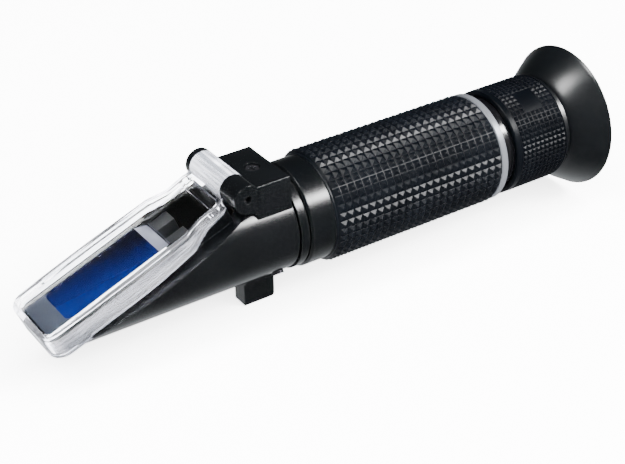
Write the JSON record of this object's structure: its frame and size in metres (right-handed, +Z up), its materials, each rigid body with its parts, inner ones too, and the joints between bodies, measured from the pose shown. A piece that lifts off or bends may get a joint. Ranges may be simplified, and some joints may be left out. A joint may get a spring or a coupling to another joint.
{
  "type": "handheld refractometer",
  "caption": "Handheld refractometer with a hinged clear daylight plate over a blue prism, a knurled black grip, a focusing eyepiece and a flared eyecup.",
  "frame": {"origin": "middle of the instrument's box, on the surface that its foot rests on", "axes": "+X along the optical axis, from the daylight plate to the eyecup; +Z up; +Y to the thin hinge ear"},
  "size_m": [0.1608, 0.0388, 0.0401],
  "materials": {
    "black_casting": "satin",
    "black_grip": "satin",
    "black_trim": "gloss",
    "black_eyecup": "satin",
    "black_inner": "matt",
    "bright_ring": "satin",
    "prism_glass": "polished",
    "blue_backing": "gloss",
    "grey_compound": "matt",
    "grey_lug": "matt",
    "clear_acrylic": "clear",
    "lens_glass": "polished",
    "steel": "satin",
    "black_steel": "blackened",
    "two_metal": "satin",
    "ivory_nylon": "matt",
    "seal_rubber": "matt"
  },
  "bodies": {
    "frame": {"prism_housing": "black_casting", "prism": "prism_glass", "prism_backing": "blue_backing", "prism_seal": "grey_compound", "prism_lugs": "grey_lug", "hinge_pin": "steel", "strip_clamp": "steel", "strip_clamp_screw": "steel", "aperture_stop": "black_inner", "lock_screws": "black_steel", "body_o_ring": "seal_rubber", "lock_ring": "black_casting", "main_tube": "black_casting", "grip_sleeve": "black_grip", "trim_ring": "bright_ring", "tube_baffles": "black_inner", "reticle_cell": "black_inner", "reticle": "lens_glass", "reticle_retainer": "black_inner", "eyepiece_mount": "black_trim", "focus_stop_screw": "steel"},
    "plate": {"daylight_plate": "clear_acrylic"},
    "objective": {"objective_cell": "black_inner", "flint_lens": "lens_glass", "crown_lens": "lens_glass", "objective_retainer": "black_inner", "bimetal_strip": "two_metal"},
    "pad": {"screw_pad": "ivory_nylon"},
    "zero_screw": {"calibration_screw": "black_steel"},
    "focus_seal": {"focus_o_ring": "seal_rubber"},
    "eyepiece": {"eyepiece_barrel": "black_casting", "field_lens": "lens_glass", "lens_spacer": "black_inner", "eye_lens": "lens_glass", "eye_lens_retainer": "black_inner", "focus_ring": "black_grip", "eyecup": "black_eyecup"}
  },
  "joints": [
    {"name": "plate_hinge", "type": "hinge", "parent": "frame", "child": "plate", "pos_m": [-0.0273, 0, 0.0365], "axis": [0, 1, 0], "range_deg": [0, 140]},
    {"name": "pad_slide", "type": "slide", "parent": "frame", "child": "pad", "axis": [0, 0, 1], "range_m": [-0.0003, 0.0003]},
    {"name": "zero_turn", "type": "hinge", "parent": "pad", "child": "zero_screw", "pos_m": [-0.0186, 0, 0.0349], "axis": [0, 0, 1], "range_deg": [-217, 217]},
    {"name": "objective_tilt", "type": "hinge", "parent": "frame", "child": "objective", "pos_m": [-0.0079, 0, 0.029], "axis": [0, 1, 0], "range_deg": [-1.62, 1.62]},
    {"name": "focus_slide", "type": "slide", "parent": "frame", "child": "focus_seal", "axis": [1, 0, 0], "range_m": [-0.00126, 0.00126]},
    {"name": "focus_turn", "type": "hinge", "parent": "focus_seal", "child": "eyepiece", "pos_m": [0.0596, 0, 0.0206], "axis": [1, 0, 0], "range_deg": [-150, 150]}
  ],
  "couplings": [
    {"joint": "zero_turn", "follows": "pad_slide", "rad_per_m": 12566},
    {"joint": "objective_tilt", "follows": "pad_slide", "rad_per_m": 93.458},
    {"joint": "focus_slide", "follows": "focus_turn", "m_per_rad": 0.00047746}
  ]
}
